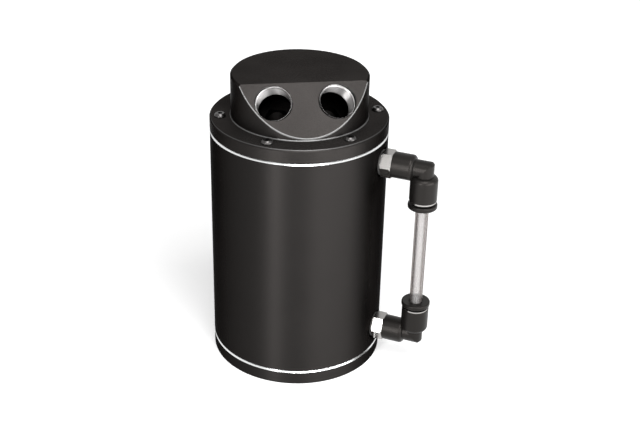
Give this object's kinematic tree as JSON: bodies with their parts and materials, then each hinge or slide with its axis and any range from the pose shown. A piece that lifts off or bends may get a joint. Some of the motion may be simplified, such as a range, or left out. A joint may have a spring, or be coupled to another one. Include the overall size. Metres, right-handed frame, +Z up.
{
  "type": "oil catch can",
  "caption": "Round oil catch can: screwed lid with a slanted face and threaded hose ports, grooved base with a drain, and a clear sight gauge on push-in elbows at its side.",
  "frame": {"origin": "centre of the base's lower face", "axes": "+Z up along the can's axis, -Y the way the slanted face looks, the gauge lies between +X and -Y"},
  "size_m": [0.1041, 0.085, 0.1465],
  "materials": {
    "black_anodised": "satin black anodised over a fine bead blast",
    "black_steel": "black oxide",
    "bright_steel": "bright",
    "nickel_plate": "bright nickel plating",
    "bare_aluminium": "turned, bare",
    "copper": "soft copper",
    "seal_rubber": "matt",
    "black_plastic": "fine moulded satin",
    "clear_tube": "clear, glossy"
  },
  "bodies": {
    "can": {"canister": "black_anodised", "base_plate": "black_anodised", "lid": "black_anodised", "lid_screws": "black_steel", "base_screws": "black_steel", "lid_seal": "seal_rubber", "base_seal": "seal_rubber", "drain_plug": "bright_steel", "drain_plug_seal": "copper", "inlet_drop_tube": "bare_aluminium", "baffle_disc": "bare_aluminium", "sight_tube": "clear_tube", "upper_stud": "nickel_plate", "upper_stud_seal": "seal_rubber", "upper_elbow": "black_plastic", "upper_swivel_seal": "seal_rubber", "upper_socket_ring": "nickel_plate", "upper_tube_seal": "seal_rubber", "upper_gripper": "bright_steel", "lower_stud": "nickel_plate", "lower_stud_seal": "seal_rubber", "lower_elbow": "black_plastic", "lower_swivel_seal": "seal_rubber", "lower_socket_ring": "nickel_plate", "lower_tube_seal": "seal_rubber", "lower_gripper": "bright_steel"},
    "upper_collar": {"upper_release_collar": "black_plastic"},
    "lower_collar": {"lower_release_collar": "black_plastic"}
  },
  "joints": [
    {"name": "upper_collar_press", "type": "slide", "parent": "can", "child": "upper_collar", "axis": [0, 0, 1], "range_m": [0, 0.0008], "stiffness_N_per_m": 300, "springref_m": -0.0005},
    {"name": "lower_collar_press", "type": "slide", "parent": "can", "child": "lower_collar", "axis": [0, 0, -1], "range_m": [0, 0.0008], "stiffness_N_per_m": 300, "springref_m": -0.0005}
  ]
}
